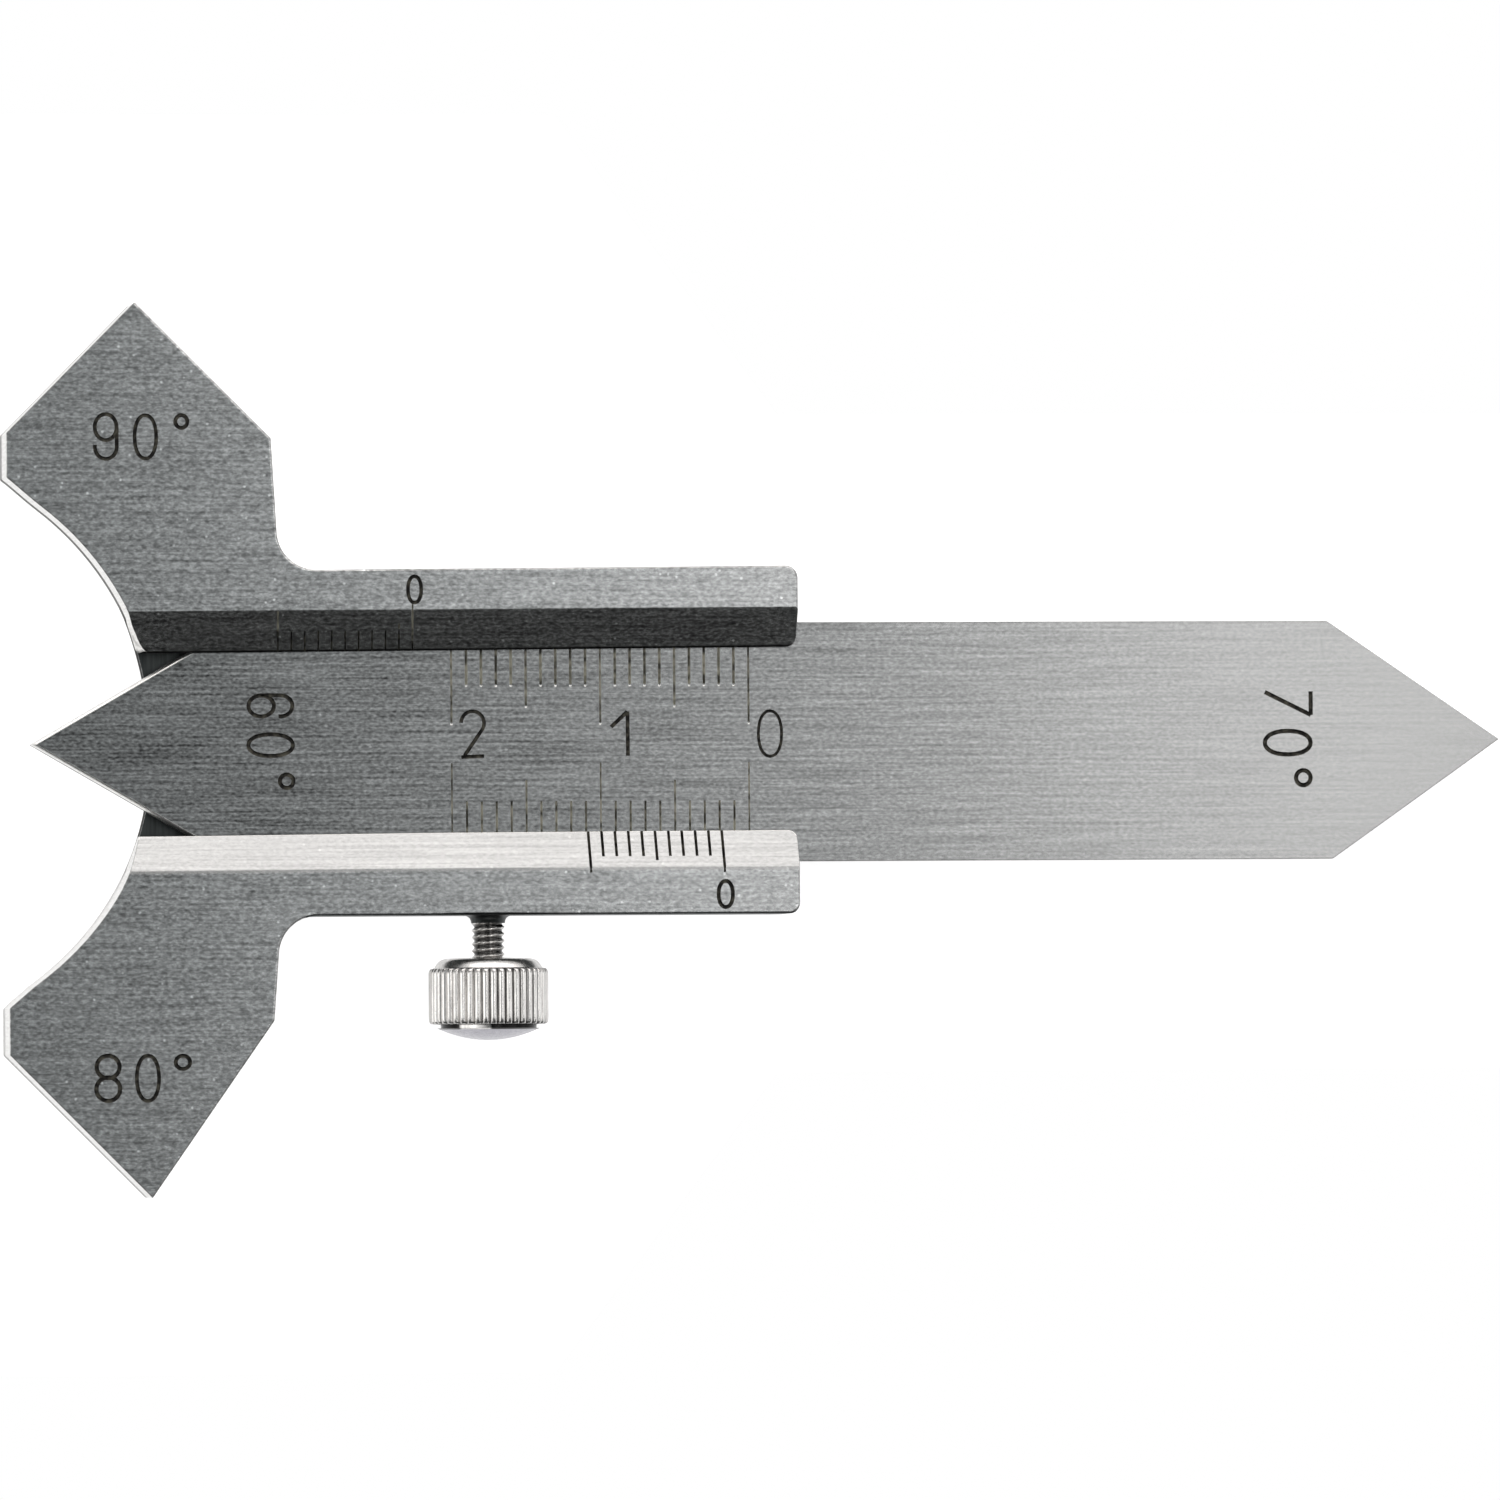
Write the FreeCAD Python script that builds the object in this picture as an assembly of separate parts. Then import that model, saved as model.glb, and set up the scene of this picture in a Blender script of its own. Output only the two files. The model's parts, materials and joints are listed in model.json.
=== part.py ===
import FreeCAD, Part
import math
import os

# Weld gauge. A flat steel body carries a 90 degree head and an 80 degree head and has a T-slot
# along its stem. A measuring slide with a 60 degree and a 70 degree point runs in the slot, and a
# knurled screw in the lower rail clamps it through a small brass pad.
#
# Frame: the origin is on the body's back face, where the screw's axis crosses the slide's axis.
# +X runs along the slide away from the heads, +Y points to the 90 degree head, and +Z comes out
# of the face that carries the scales. Millimetres and degrees.

# Body
body_thickness = 5.0
stem_width = 23.0
stem_end_reach = 20.7           # screw axis to the stem's end
contact_reach = 32.35           # screw axis to the plane of the two contact faces
head_depth = 17.75              # contact plane to the shoulders behind the heads
throat_depth = 20.6             # contact plane to the corner that the two fillet faces point at
fillet_face_angle = 45.0        # fillet faces against the slide's axis
upper_head_angle = 90.0
lower_head_angle = 80.0
upper_apex_reach = 8.7          # contact plane to the 90 degree apex, along X
lower_apex_reach = 9.55         # contact plane to the 80 degree apex, along X
weld_arc_radius = 19.6
weld_arc_setback = 9.3          # the arc's centre lies this far in front of the contact plane
neck_lean = 0.5                 # how far each head's back edge leans out towards the stem
neck_fillet = 2.6
end_corner_radius = 0.7
edge_break = 0.15

# T-slot and bevelled lips
back_wall = 1.7
slide_side_gap = 0.05
slide_top_gap = 0.05
lip_thickness = 0.3
lip_opening = 12.3
bevel_width = 2.55
lip_corner_radius = 0.7         # upper lip, at the arc
lip_end_radius = 0.27           # both lips, at the stem's end

# Measuring slide
slide_width = 16.0
slide_thickness = 1.5
slide_length = 99.15
left_point_angle = 60.0
right_point_angle = 70.0
left_point_bevel = 0.22
height_reading = 1.8            # how far the left point stands behind the contact plane

# Scales
scale_zero_reach = 48.1         # left point to the main scale's zero line
scale_pitch = 1.0
scale_lines = 21
scale_cover = 0.35              # how far the scale lines run on under the lips
scale_short = 2.25              # line lengths, from the lip's edge
scale_middle = 3.65
scale_long = 4.8
vernier_pitch = 0.9
vernier_lines = 11
vernier_short = 0.6             # line lengths, as shares of the bevel's width
vernier_middle = 0.75
vernier_long = 0.98
line_width = 0.2
line_depth = 0.1

# Clamp screw
thread_radius = 1.1
thread_clearance = 0.05
exposed_thread = 2.8            # rail to the screw's head
head_radius = 4.0
head_cone_height = 0.55
head_cone_radius = 3.4
head_chamfer_length = 0.5
knurl_length = 4.15
knurl_teeth = 45
knurl_depth = 0.2
knurl_groove_share = 0.55       # groove's share of the tooth pitch, at the rim
dome_radius = 3.45
dome_height = 0.8
tip_chamfer = 0.2

# Thrust pad
pad_radius = 0.8
pad_length = 0.9
pad_gap = 0.02                  # pad to the slide's edge
spigot_radius = 0.4
spigot_length = 0.8
spigot_clearance = 0.05
spigot_end_gap = 0.15

# Places that follow from the sizes above
stem_half = stem_width / 2
slide_half = slide_width / 2
lip_half = lip_opening / 2
bevel_half = lip_half + bevel_width
slide_front = back_wall + slide_thickness
slot_top = slide_front + slide_top_gap
lip_top = slot_top + lip_thickness
slot_half = slide_half + slide_side_gap
contact_x = -contact_reach
shoulder_x = contact_x + head_depth
corner_x = contact_x - throat_depth
slide_left = contact_x + height_reading
slide_right = slide_left + slide_length
scale_zero_x = slide_left + scale_zero_reach
lower_vernier_x = contact_x + scale_zero_reach
upper_vernier_x = corner_x + scale_zero_reach
screw_z = back_wall + slide_thickness / 2
pad_face_y = -slide_half - pad_gap
screw_tip_y = pad_face_y - pad_length
head_start_y = -stem_half - exposed_thread

overcut = 1.0                   # how far each cutter runs past the face that it opens
x_axis = FreeCAD.Vector(1, 0, 0)
y_axis = FreeCAD.Vector(0, 1, 0)
z_axis = FreeCAD.Vector(0, 0, 1)


def point(x, y, z=0.0):
    return FreeCAD.Vector(x, y, z)


def polygon_face(points):
    return Part.Face(Part.makePolygon(points + points[:1]))


def head_points(side, apex_angle, apex_reach):
    """Corners of one head from the stem round to its contact face; side is +1 or -1 in Y."""
    apex_x = contact_x + apex_reach
    slope = math.tan(math.radians(fillet_face_angle))
    apex_y = (apex_x - corner_x) * slope
    back_slope = math.tan(math.radians(180.0 - fillet_face_angle - apex_angle))
    shoulder_y = apex_y - (shoulder_x - apex_x) * back_slope
    return [
        point(shoulder_x + neck_lean, side * stem_half),
        point(shoulder_x, side * shoulder_y),
        point(apex_x, side * apex_y),
        point(contact_x, side * throat_depth * slope),
        point(contact_x, side * weld_arc_half()),
    ]


def weld_arc_half():
    """Half the gap between the heads at the contact plane."""
    return math.sqrt(weld_arc_radius ** 2 - weld_arc_setback ** 2)


def body_blank():
    """The body's outline, extruded: stem, both heads and the arc between them."""
    upper = head_points(1, upper_head_angle, upper_apex_reach)
    lower = head_points(-1, lower_head_angle, lower_apex_reach)
    arc_middle = point(contact_x - weld_arc_setback + weld_arc_radius, 0)
    arc = Part.Arc(upper[-1], arc_middle, lower[-1]).toShape()
    outline = [point(stem_end_reach, stem_half)] + upper
    outline_below = lower[::-1] + [point(stem_end_reach, -stem_half), point(stem_end_reach, stem_half)]
    wire = Part.Wire([Part.makePolygon(outline), arc, Part.makePolygon(outline_below)])
    blank = Part.Face(wire).extrude(z_axis * body_thickness)
    for radius, corner_place in ((neck_fillet, shoulder_x + neck_lean), (end_corner_radius, stem_end_reach)):
        corners = [edge for edge in blank.Edges if stands_at(edge, corner_place, stem_half)]
        blank = blank.makeFillet(radius, corners)
    return blank


def stands_at(edge, x, y):
    """True for an upright edge at x and at plus or minus y."""
    box = edge.BoundBox
    upright = box.XLength < edge_break and box.YLength < edge_break
    return upright and abs(edge.CenterOfMass.x - x) < edge_break and abs(abs(edge.CenterOfMass.y) - y) < edge_break


def break_stem_edges(blank):
    """A small chamfer round the stem's outline, on the front and on the back."""
    rims = []
    for edge in blank.Edges:
        flat = edge.BoundBox.ZLength < edge_break
        if flat and edge.CenterOfMass.x > stem_end_reach - end_corner_radius:
            rims.append(edge)
    return blank.makeChamfer(edge_break, rims)


def slot_cutter():
    """T-slot and the opening between the bevelled lips, as one profile along the stem."""
    rise = (body_thickness - lip_top) / bevel_width
    beyond = bevel_half + overcut
    right = [
        point(0, slot_half, back_wall),
        point(0, slot_half, slot_top),
        point(0, lip_half, slot_top),
        point(0, lip_half, lip_top),
        point(0, beyond, lip_top + (beyond - lip_half) * rise),
    ]
    left = [point(0, -corner.y, corner.z) for corner in right[::-1]]
    cutter = polygon_face(right + left).extrude(x_axis * (stem_end_reach + contact_reach + 2 * overcut))
    cutter.translate(point(contact_x - overcut, 0))
    return cutter


def lip_corner_cutter(side, end_x, inward, radius):
    """Rounds one lip's corner at an end of the stem; side is +1 or -1 in Y, inward is +1 or -1 in X."""
    near_x = end_x - inward * overcut
    far_x = end_x + inward * radius
    near_y = side * (lip_half - overcut)
    far_y = side * (lip_half + radius)
    corners = [
        point(near_x, near_y, slot_top),
        point(far_x, near_y, slot_top),
        point(far_x, far_y, slot_top),
        point(near_x, far_y, slot_top),
    ]
    block = polygon_face(corners).extrude(z_axis * body_thickness)
    post = Part.makeCylinder(radius, body_thickness, corners[2])
    return block.cut(post)


def lip_corner_cutters():
    """The upper lip's corner at the arc, and both lips' corners at the stem's end."""
    arc_x = contact_x - weld_arc_setback + math.sqrt(weld_arc_radius ** 2 - lip_half ** 2)
    return [
        lip_corner_cutter(1, arc_x, 1, lip_corner_radius),
        lip_corner_cutter(1, stem_end_reach, -1, lip_end_radius),
        lip_corner_cutter(-1, stem_end_reach, -1, lip_end_radius),
    ]


def screw_bore():
    radius = thread_radius + thread_clearance
    length = stem_half - slide_half + overcut
    return Part.makeCylinder(radius, length, point(0, -slide_half, screw_z), -y_axis)


def groove(start, end, normal):
    """A V-shaped line from start to end, cut into a face with this outward normal."""
    along = end - start
    across = along.cross(normal).normalize() * line_width
    lift = normal * line_depth
    section = [start + across + lift, start - across + lift, start - lift]
    return polygon_face(section).extrude(along)


def line_length(index, short, middle, long):
    if index % 10 == 0:
        return long
    if index % 5 == 0:
        return middle
    return short


def vernier_grooves(side, zero_x):
    """Ten divisions of nine tenths on one bevel; side is +1 for the upper one."""
    rise = body_thickness - lip_top
    down_slope = point(0, side * bevel_width, rise)
    normal = point(0, -side * rise, bevel_width).normalize()
    grooves = []
    for index in range(vernier_lines):
        x = zero_x - index * vernier_pitch
        foot = point(x, side * lip_half, lip_top)
        share = line_length(index, vernier_short, vernier_middle, vernier_long)
        grooves.append(groove(foot - down_slope * line_width, foot + down_slope * share, normal))
    return grooves


def scale_grooves():
    """Millimetre lines along both lips, on the slide's front."""
    grooves = []
    for index in range(scale_lines):
        x = scale_zero_x - index * scale_pitch
        length = line_length(index, scale_short, scale_middle, scale_long)
        for side in (1, -1):
            outer = point(x, side * (lip_half + scale_cover), slide_front)
            inner = point(x, side * (lip_half - length), slide_front)
            grooves.append(groove(outer, inner, z_axis))
    return grooves


def gauge_body():
    body = break_stem_edges(body_blank())
    body = body.cut(slot_cutter())
    body = body.cut(lip_corner_cutters())
    body = body.cut(screw_bore())
    return body.cut(vernier_grooves(1, upper_vernier_x) + vernier_grooves(-1, lower_vernier_x))


def measuring_slide():
    """Flat strip with a point at each end; the left point's front edges are bevelled."""
    left_run = slide_half / math.tan(math.radians(left_point_angle / 2))
    right_run = slide_half / math.tan(math.radians(right_point_angle / 2))
    outline = [
        point(slide_left, 0, back_wall),
        point(slide_left + left_run, -slide_half, back_wall),
        point(slide_right - right_run, -slide_half, back_wall),
        point(slide_right, 0, back_wall),
        point(slide_right - right_run, slide_half, back_wall),
        point(slide_left + left_run, slide_half, back_wall),
    ]
    slide = polygon_face(outline).extrude(z_axis * slide_thickness)
    flanks = []
    for edge in slide.Edges:
        in_front = edge.BoundBox.ZMin > slide_front - line_depth
        if in_front and abs(edge.CenterOfMass.x - slide_left - left_run / 2) < line_width:
            flanks.append(edge)
    slide = slide.makeChamfer(left_point_bevel, flanks)
    return slide.cut(scale_grooves())


def turned(profile):
    """Revolves a half profile about the screw's axis; a profile point is (radius, y)."""
    points = [point(radius, y, screw_z) for radius, y in profile]
    return polygon_face(points).revolve(point(0, 0, screw_z), y_axis, 360)


def knurl_cutters(start_y):
    """One V-shaped groove for each gap between teeth."""
    tooth_pitch = 2 * math.pi * head_radius / knurl_teeth
    groove_width = tooth_pitch * knurl_groove_share
    cutters = []
    for tooth in range(knurl_teeth):
        section = [
            point(head_radius - knurl_depth, start_y, screw_z),
            point(head_radius + knurl_depth, start_y, screw_z + groove_width),
            point(head_radius + knurl_depth, start_y, screw_z - groove_width),
        ]
        cutter = polygon_face(section).extrude(-y_axis * (knurl_length + head_cone_height))
        cutter.rotate(point(0, 0, screw_z), y_axis, tooth * 360.0 / knurl_teeth)
        cutters.append(cutter)
    return cutters


def clamp_screw():
    """One turned piece: threaded shank, shallow cone, knurled rim and domed end."""
    cone_end = head_start_y - head_cone_height
    rim_end = cone_end - knurl_length
    profile = [
        (0, screw_tip_y),
        (thread_radius - tip_chamfer, screw_tip_y),
        (thread_radius, screw_tip_y - tip_chamfer),
        (thread_radius, head_start_y),
        (head_cone_radius, cone_end),
        (head_radius, cone_end - head_chamfer_length),
        (head_radius, rim_end + head_chamfer_length),
        (dome_radius, rim_end),
        (0, rim_end),
    ]
    screw = turned(profile).cut(knurl_cutters(cone_end))
    ball_radius = (dome_radius ** 2 + dome_height ** 2) / (2 * dome_height)
    ball_centre = point(0, rim_end - dome_height + ball_radius, screw_z)
    keep = Part.makeCylinder(dome_radius, dome_height, point(0, rim_end, screw_z), -y_axis)
    screw = screw.fuse(Part.makeSphere(ball_radius, ball_centre).common(keep)).removeSplitter()
    socket_length = spigot_length + spigot_end_gap
    socket = Part.makeCylinder(spigot_radius + spigot_clearance, socket_length,
                               point(0, screw_tip_y, screw_z), -y_axis)
    return screw.cut(socket)


def thrust_pad():
    """Brass pad between the screw and the slide's edge, on a spigot in the screw's tip."""
    profile = [
        (0, pad_face_y),
        (pad_radius, pad_face_y),
        (pad_radius, screw_tip_y),
        (spigot_radius, screw_tip_y),
        (spigot_radius, screw_tip_y - spigot_length),
        (0, screw_tip_y - spigot_length),
    ]
    return turned(profile)


def main():
    os.makedirs("parts", exist_ok=True)
    nodes = {
        "gauge_body": gauge_body(),
        "measuring_slide": measuring_slide(),
        "clamp_screw": clamp_screw(),
        "thrust_pad": thrust_pad(),
    }
    for name, shape in nodes.items():
        solid = shape.Solids[0] if len(shape.Solids) == 1 else shape
        solid.exportStep(os.path.join("parts", name + ".step"))
        print(name, "solids", len(shape.Solids), "valid", shape.isValid(), "mm3", round(shape.Volume, 1))


main()
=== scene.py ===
"""Weld gauge: the finished look of the flat steel gauge, built around its CAD frame."""

import json
import math

import bmesh
import bpy
from mathutils import Matrix, Vector

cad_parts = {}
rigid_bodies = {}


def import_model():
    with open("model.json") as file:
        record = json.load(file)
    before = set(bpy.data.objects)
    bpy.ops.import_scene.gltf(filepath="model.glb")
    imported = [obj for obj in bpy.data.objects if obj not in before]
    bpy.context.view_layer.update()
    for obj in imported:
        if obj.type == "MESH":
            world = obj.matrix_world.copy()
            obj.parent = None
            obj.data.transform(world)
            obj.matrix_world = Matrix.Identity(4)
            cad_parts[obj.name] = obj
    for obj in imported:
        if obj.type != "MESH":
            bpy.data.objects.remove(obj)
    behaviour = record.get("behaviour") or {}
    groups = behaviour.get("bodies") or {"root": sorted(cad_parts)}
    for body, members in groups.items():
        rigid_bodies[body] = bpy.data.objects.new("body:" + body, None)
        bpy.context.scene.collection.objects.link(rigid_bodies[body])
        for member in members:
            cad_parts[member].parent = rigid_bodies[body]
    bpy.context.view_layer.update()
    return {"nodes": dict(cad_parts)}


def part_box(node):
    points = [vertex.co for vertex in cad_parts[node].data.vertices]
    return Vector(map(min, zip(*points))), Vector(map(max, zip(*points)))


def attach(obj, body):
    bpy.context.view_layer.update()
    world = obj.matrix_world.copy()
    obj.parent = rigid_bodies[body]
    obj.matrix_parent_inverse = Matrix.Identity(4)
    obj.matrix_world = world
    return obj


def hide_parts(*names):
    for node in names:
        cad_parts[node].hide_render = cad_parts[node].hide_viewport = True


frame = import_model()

bl_info = {
    "name": "Weld Gauge",
    "version": (1, 0, 0),
    "blender": (4, 5, 0),
    "location": "3D View > Sidebar > Weld Gauge",
    "description": "Builds a sliding weld gauge with engraved scales and a knurled clamp screw",
    "category": "Add Mesh",
}

MM = 0.001
GRAIN_MAP = "grain"

# Places read from the CAD frame, in millimetres
body_low, body_high = (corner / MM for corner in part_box("gauge_body"))
slide_low, slide_high = (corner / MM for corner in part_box("measuring_slide"))
screw_low, screw_high = (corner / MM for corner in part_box("clamp_screw"))
SCREW_Z = (screw_low.z + screw_high.z) / 2


# Colours


def linear(hex_code):
    """An sRGB hex colour as linear red, green and blue."""
    values = []
    for start in (0, 2, 4):
        share = int(hex_code[start:start + 2], 16) / 255
        values.append(share / 12.92 if share <= 0.04045 else ((share + 0.055) / 1.055) ** 2.4)
    return tuple(values)


def opaque(hex_code):
    return linear(hex_code) + (1.0,)


def shaded(colour, share):
    """The same colour, lighter or darker."""
    return tuple(min(1.0, share * value) for value in colour) + (1.0,)


def grey(share):
    return shaded((1, 1, 1), share)


# Settings that a user would change


def length(name, description, millimetres):
    return bpy.props.FloatProperty(
        name=name, description=description, default=millimetres * MM, unit="LENGTH", subtype="DISTANCE")


def metal_colour(name, description, hex_code):
    return bpy.props.FloatVectorProperty(
        name=name, description=description, size=3, subtype="COLOR", default=linear(hex_code))


class WeldGaugeBody(bpy.types.PropertyGroup):
    """Sizes of the gauge body"""

    stem_width: length("Stem width", "Width of the stem across the slide", 23)
    lip_opening: length("Lip opening", "Gap between the two bevelled lips", 12.3)
    bevel_width: length("Bevel width", "Width of each lip's sloping face", 2.55)
    line_width: length("Line width", "Width of the engraved lines", 0.2)
    steel: metal_colour("Steel", "Colour of the ground body", "A0A1A1")


class WeldGaugeSlide(bpy.types.PropertyGroup):
    """Sizes of the measuring slide"""

    line_width: length("Line width", "Width of the millimetre lines", 0.18)
    steel: metal_colour("Steel", "Colour of the ground slide", "818282")


class WeldGaugeScrew(bpy.types.PropertyGroup):
    """Sizes of the clamp screw"""

    thread_pitch: length("Thread pitch", "Distance from one thread crest to the next", 0.45)
    thread_depth: length("Thread depth", "Depth from crest to root", 0.18)
    knurl_teeth: bpy.props.IntProperty(
        name="Knurl teeth", description="Number of ridges round the head", default=45, min=12, max=90)
    knurl_depth: length("Knurl depth", "Depth of the grooves between the ridges", 0.22)
    plating: metal_colour("Plating", "Colour of the nickel plating", "D2D0CE")


# Mesh tools; pieces are drawn in millimetres and brought to metres when they are placed


def new_object(name, mesh):
    made = bpy.data.objects.new(name, mesh)
    bpy.context.scene.collection.objects.link(made)
    return made


def mesh_from(name, vertices, faces):
    mesh = bpy.data.meshes.new(name)
    mesh.from_pydata(vertices, [], faces)
    mesh.update()
    return mesh


def ring_faces(ring_count, around, closed=False):
    """Faces between each ring of points and the next, and between the last and the first if closed."""
    faces = []
    for ring in range(ring_count if closed else ring_count - 1):
        near, far = ring * around, (ring + 1) % ring_count * around
        for step in range(around):
            after = (step + 1) % around
            faces.append((near + step, near + after, far + after, far + step))
    return faces


def lofted(name, rings, closed=False):
    """A skin through rings of points: capped at both ends, or closed on itself."""
    around = len(rings[0])
    vertices = [point for ring in rings for point in ring]
    faces = ring_faces(len(rings), around, closed)
    if not closed:
        faces += [tuple(range(around)), tuple(range(len(vertices) - around, len(vertices)))]
    mesh = mesh_from(name, vertices, faces)
    face_outwards(mesh)
    return mesh


def face_outwards(mesh):
    shape = bmesh.new()
    shape.from_mesh(mesh)
    bmesh.ops.recalc_face_normals(shape, faces=shape.faces)
    shape.to_mesh(mesh)
    shape.free()


def round_corner(before, corner, after, radius, steps):
    """Points of an arc that rounds one corner of an outline."""
    corner, before, after = Vector(corner), Vector(before), Vector(after)
    back = (before - corner).normalized()
    ahead = (after - corner).normalized()
    half = back.angle(ahead) / 2
    centre = corner + (back + ahead).normalized() * (radius / math.sin(half))
    first = corner + back * (radius / math.tan(half)) - centre
    last = corner + ahead * (radius / math.tan(half)) - centre
    turn = first.angle_signed(last)
    points = []
    for step in range(steps + 1):
        angle = -turn * step / steps
        points.append((
            centre.x + first.x * math.cos(angle) - first.y * math.sin(angle),
            centre.y + first.x * math.sin(angle) + first.y * math.cos(angle),
        ))
    return points


def carve(mesh, cutters):
    """Cuts every cutter mesh out of this mesh; a cutter's material stays on the faces that it leaves."""
    tools = bpy.data.collections.new("cutters")
    bpy.context.scene.collection.children.link(tools)
    for cutter in cutters:
        tools.objects.link(bpy.data.objects.new(cutter.name, cutter))
    carved = finished(mesh, "BOOLEAN", {
        "operation": "DIFFERENCE",
        "solver": "EXACT",
        "operand_type": "COLLECTION",
        "collection": tools,
        "material_mode": "TRANSFER",
    })
    for tool in list(tools.objects):
        bpy.data.objects.remove(tool)
    bpy.data.collections.remove(tools)
    return carved


def finished(mesh, kind, settings):
    """The mesh as one modifier with these settings leaves it."""
    holder = new_object(mesh.name, mesh)
    modifier = holder.modifiers.new(kind.lower(), kind)
    for key, value in settings.items():
        setattr(modifier, key, value)
    depsgraph = bpy.context.evaluated_depsgraph_get()
    made = bpy.data.meshes.new_from_object(holder.evaluated_get(depsgraph))
    bpy.data.objects.remove(holder)
    return made


def soften_edges(mesh, radius_of):
    """Rounds the edges. radius_of gives each sharp edge its own radius, up to the widest."""
    widest, steps = 0.2, 3
    flat_below, sharp_above = math.radians(0.05), math.radians(20)
    shape = bmesh.new()
    shape.from_mesh(mesh)
    bmesh.ops.dissolve_limit(shape, angle_limit=flat_below, verts=shape.verts, edges=shape.edges)
    weights = shape.edges.layers.float.new("bevel_weight_edge")
    for edge in shape.edges:
        if edge.is_manifold and edge.calc_face_angle() > sharp_above:
            edge[weights] = radius_of(edge) / widest
    shape.to_mesh(mesh)
    shape.free()
    return finished(mesh, "BEVEL", {
        "width": widest,
        "segments": steps,
        "limit_method": "WEIGHT",
        "use_clamp_overlap": False,
    })


def lay_grain(mesh):
    """A map whose first axis runs across the grinding marks, the way that the sheen is drawn out."""
    shortest = 0.3
    layer = mesh.uv_layers.get(GRAIN_MAP) or mesh.uv_layers.new(name=GRAIN_MAP)
    for polygon in mesh.polygons:
        normal = polygon.normal
        along = Vector((1, 0, 0)) - normal * normal.x
        if along.length < shortest:
            along = Vector((0, 1, 0)) - normal * normal.y
        along.normalize()
        across = normal.cross(along)
        for corner in polygon.loop_indices:
            spot = mesh.vertices[mesh.loops[corner].vertex_index].co
            layer.data[corner].uv = (spot.dot(across), spot.dot(along))


def shade(mesh, sharpest):
    """Smooth rounding between faces that stay flat; edges sharper than this many degrees stay sharp."""
    mesh.shade_smooth()
    mesh.set_sharp_from_angle(angle=math.radians(sharpest))
    return finished(mesh, "WEIGHTED_NORMAL", {"keep_sharp": True, "weight": 80})


def dress(mesh, *finishes):
    """Gives a mesh these materials."""
    mesh.materials.clear()
    for finish in finishes:
        mesh.materials.append(finish)


def place(mesh, name, body, node):
    """Brings a finished mesh to metres and makes it the piece that stands for a CAD node."""
    mesh.transform(Matrix.Scale(MM, 4))
    mesh.name = name
    piece = new_object(name, mesh)
    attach(piece, body)
    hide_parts(node)
    return piece


# Engraving

OUT_OF_FACE = (0, 0, 1)


def groove_bar(name, start, end, up, width, depth, finish):
    """A V-shaped cutter for one engraved line, from start to end on a face whose outward normal is up."""
    start, end, up = Vector(start), Vector(end), Vector(up).normalized()
    along = (end - start).normalized()
    across = along.cross(up) * width
    vertices = []
    for foot in (start, end):
        vertices += [foot - across + up * depth, foot + across + up * depth, foot - up * depth]
    faces = [(0, 1, 2), (5, 4, 3), (0, 3, 4, 1), (1, 4, 5, 2), (2, 5, 3, 0)]
    mesh = mesh_from(name, [tuple(vertex) for vertex in vertices], faces)
    face_outwards(mesh)
    dress(mesh, finish)
    return mesh


def dimple(name, centre, radius, finish):
    """A small ball-shaped cutter."""
    shape = bmesh.new()
    bmesh.ops.create_icosphere(shape, subdivisions=2, radius=radius, matrix=Matrix.Translation(centre))
    mesh = bpy.data.meshes.new(name)
    shape.to_mesh(mesh)
    shape.free()
    dress(mesh, finish)
    return mesh


def stroke_tube(name, points, closed, radius, finish):
    """A round-ended tube along one pen stroke."""
    curve = bpy.data.curves.new(name, "CURVE")
    curve.dimensions = "3D"
    curve.bevel_depth = radius
    curve.bevel_resolution = 3
    curve.use_fill_caps = True
    spline = curve.splines.new("POLY")
    spline.points.add(len(points) - 1)
    for index, spot in enumerate(points):
        spline.points[index].co = (*spot, 1.0)
    spline.use_cyclic_u = closed
    tube = new_object(name, curve)
    depsgraph = bpy.context.evaluated_depsgraph_get()
    mesh = bpy.data.meshes.new_from_object(tube.evaluated_get(depsgraph))
    bpy.data.objects.remove(tube)
    face_outwards(mesh)
    dress(mesh, finish)
    return mesh


def arc_points(centre, size, start, end, steps):
    """Points of an elliptical arc from start to end degrees."""
    points = []
    for step in range(steps + 1):
        angle = math.radians(start + (end - start) * step / steps)
        points.append((centre[0] + size[0] * math.cos(angle), centre[1] + size[1] * math.sin(angle)))
    return points


def oval(centre, size, power=1.0):
    """A closed ring; a power under 1 makes its sides straighter."""
    steps = 28
    points = []
    for step in range(steps):
        angle = 2 * math.pi * step / steps
        x, y = math.cos(angle), math.sin(angle)
        points.append((
            centre[0] + size[0] * math.copysign(abs(x) ** power, x),
            centre[1] + size[1] * math.copysign(abs(y) ** power, y),
        ))
    return points


def figure_strokes(figure):
    """Pen strokes of one figure in a box one high and one wide, as (points, closed)."""
    if figure == "6":
        return [([(1 - x, 1 - y) for x, y in points], closed) for points, closed in figure_strokes("9")]
    hook = arc_points((0.52, 0.74), (0.49, 0.26), 178, -28, 16)
    tail = arc_points((0.5, 0.27), (0.5, 0.27), 0, -190, 14)
    return {
        "0": [(oval((0.5, 0.5), (0.5, 0.5), 0.92), True)],
        "1": [([(0.0, 0.65), (0.95, 1.0)], False), ([(0.96, 1.0), (0.97, 0.0)], False)],
        "2": [(hook + [(0.17, 0.03)], False), ([(0.03, 0.0), (1.0, 0.02)], False)],
        "7": [([(0.0, 1.0), (1.0, 1.0)], False), ([(1.0, 1.0), (0.02, 0.0)], False)],
        "8": [(oval((0.5, 0.75), (0.48, 0.25)), True), (oval((0.5, 0.26), (0.5, 0.26)), True)],
        "9": [([(1.0, 0.72)] + tail, False), (oval((0.5, 0.71), (0.5, 0.29)), True)],
        "o": [(oval((0.5, 0.5), (0.5, 0.5)), True)],
    }[figure]


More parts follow.
